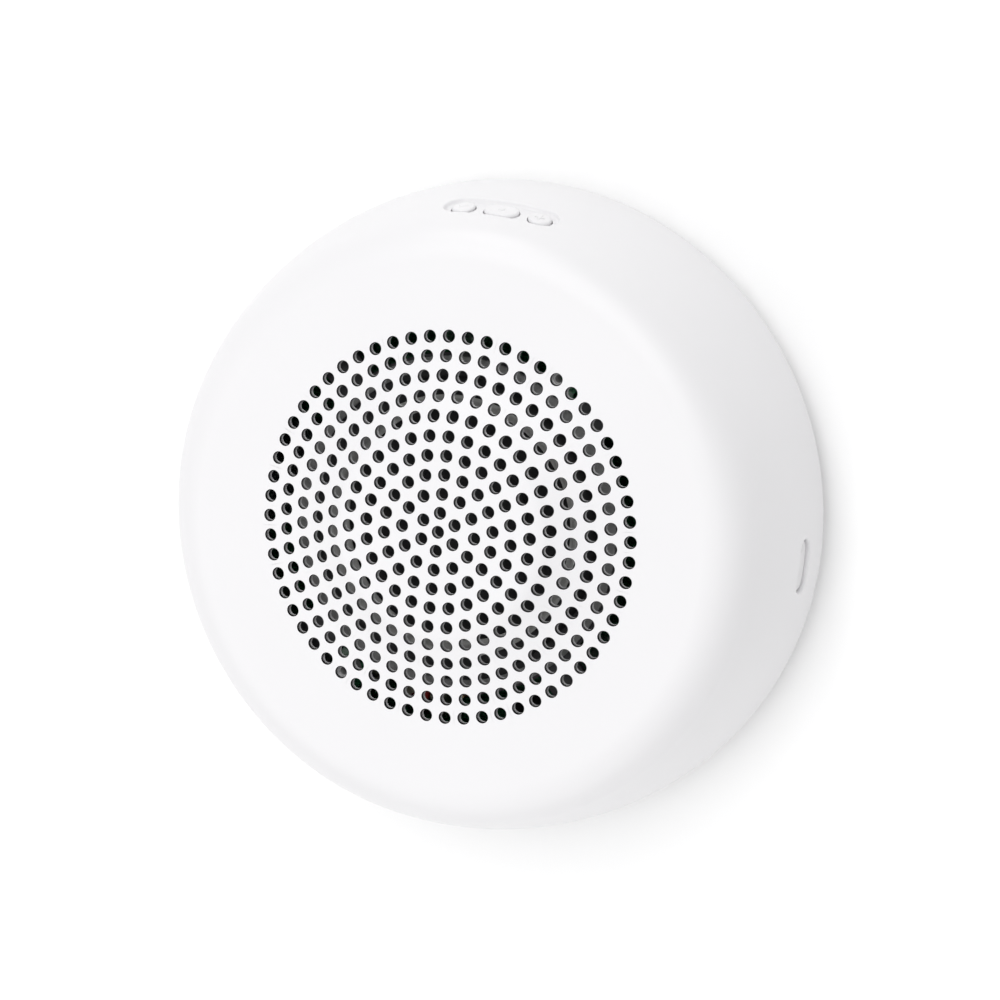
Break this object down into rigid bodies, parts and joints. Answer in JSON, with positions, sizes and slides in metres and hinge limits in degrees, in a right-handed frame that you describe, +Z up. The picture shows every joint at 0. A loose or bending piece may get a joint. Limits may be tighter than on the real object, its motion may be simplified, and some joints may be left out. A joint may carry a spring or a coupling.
{
  "type": "smart speaker",
  "caption": "Low round white puck speaker with a raised, ringed grille of round sound holes, side keys, a covered power inlet and a full driver and boards inside.",
  "frame": {"origin": "centre of the foot ring's underside, on the surface that it stands on", "axes": "+Z up out of the grille, +Y towards the keys, +X towards the power inlet"},
  "size_m": [0.0978, 0.0978, 0.0347],
  "materials": {
    "shell_white": "satin white moulded plastic",
    "key_white": "satin white moulded plastic",
    "cover_rubber": "white silicone rubber",
    "base_white": "fine-textured white moulded plastic",
    "foot_rubber": "light grey silicone rubber",
    "screw_steel": "zinc-plated steel",
    "basket_black": "black painted pressed steel",
    "gasket_foam": "black closed-cell foam",
    "plated_steel": "plated steel",
    "ferrite": "bare ferrite",
    "former_film": "amber film",
    "copper_wire": "lacquered copper wire",
    "cone_paper": "black pressed paper",
    "cone_cap": "black pressed cloth",
    "surround_rubber": "black butyl rubber",
    "spider_cloth": "resin-treated cloth",
    "tag_board": "phenolic sheet",
    "tag_brass": "tinned brass",
    "lead_red": "red flexible insulation",
    "lead_black": "black flexible insulation",
    "connector_plastic": "cream nylon",
    "circuit_board": "green solder mask over glass laminate",
    "can_metal": "tinned sheet steel",
    "capacitor_can": "bare aluminium",
    "inductor_core": "moulded ferrite",
    "chip_epoxy": "black moulding compound",
    "flat_cable": "white flat cable film",
    "mic_can_metal": "gold-plated can"
  },
  "bodies": {
    "case": {"top_shell": "shell_white", "base_cover": "base_white", "foot_ring": "foot_rubber", "case_screws": "screw_steel", "driver_basket": "basket_black", "driver_gasket": "gasket_foam", "driver_screws": "screw_steel", "top_plate": "plated_steel", "magnet": "ferrite", "yoke": "plated_steel", "surround": "surround_rubber", "spider": "spider_cloth", "terminal_board": "tag_board", "terminal_tags": "tag_brass", "lead_red": "lead_red", "lead_black": "lead_black", "speaker_plug": "connector_plastic", "speaker_header": "connector_plastic", "main_board": "circuit_board", "board_screws": "screw_steel", "shield_can": "can_metal", "capacitors": "capacitor_can", "inductor": "inductor_core", "amplifier_chip": "chip_epoxy", "power_inlet": "can_metal", "inlet_tongue": "chip_epoxy", "antenna_board": "circuit_board", "antenna_cable": "lead_black", "switch_board": "circuit_board", "switch_bodies": "can_metal", "switch_screws": "screw_steel", "ribbon": "flat_cable", "ribbon_socket": "connector_plastic", "mic_boots": "gasket_foam", "mic_boards": "circuit_board", "mic_cans": "mic_can_metal", "mic_ribbons": "flat_cable", "mic_sockets": "connector_plastic"},
    "cone_assembly": {"cone": "cone_paper", "dust_cap": "cone_cap", "coil_former": "former_film", "voice_coil": "copper_wire"},
    "key_minus_body": {"key_minus": "key_white", "plunger_minus": "chip_epoxy"},
    "key_action_body": {"key_action": "key_white", "plunger_action": "chip_epoxy"},
    "key_plus_body": {"key_plus": "key_white", "plunger_plus": "chip_epoxy"},
    "port_cover_body": {"port_cover": "cover_rubber"}
  },
  "joints": [
    {"name": "cone_stroke", "type": "slide", "parent": "case", "child": "cone_assembly", "axis": [0, 0, 1], "range_m": [-0.001, 0.001], "stiffness_N_per_m": 800, "deforming": ["surround", "spider"]},
    {"name": "press_minus", "type": "slide", "parent": "case", "child": "key_minus_body", "axis": [0, -0.956, -0.2934], "range_m": [0, 0.0005], "stiffness_N_per_m": 300},
    {"name": "press_action", "type": "slide", "parent": "case", "child": "key_action_body", "axis": [0, -0.956, -0.2934], "range_m": [0, 0.0005], "stiffness_N_per_m": 300},
    {"name": "press_plus", "type": "slide", "parent": "case", "child": "key_plus_body", "axis": [0, -0.956, -0.2934], "range_m": [0, 0.0005], "stiffness_N_per_m": 300},
    {"name": "pull_cover", "type": "slide", "parent": "case", "child": "port_cover_body", "axis": [1, 0, 0], "range_m": [0, 0.004]}
  ]
}
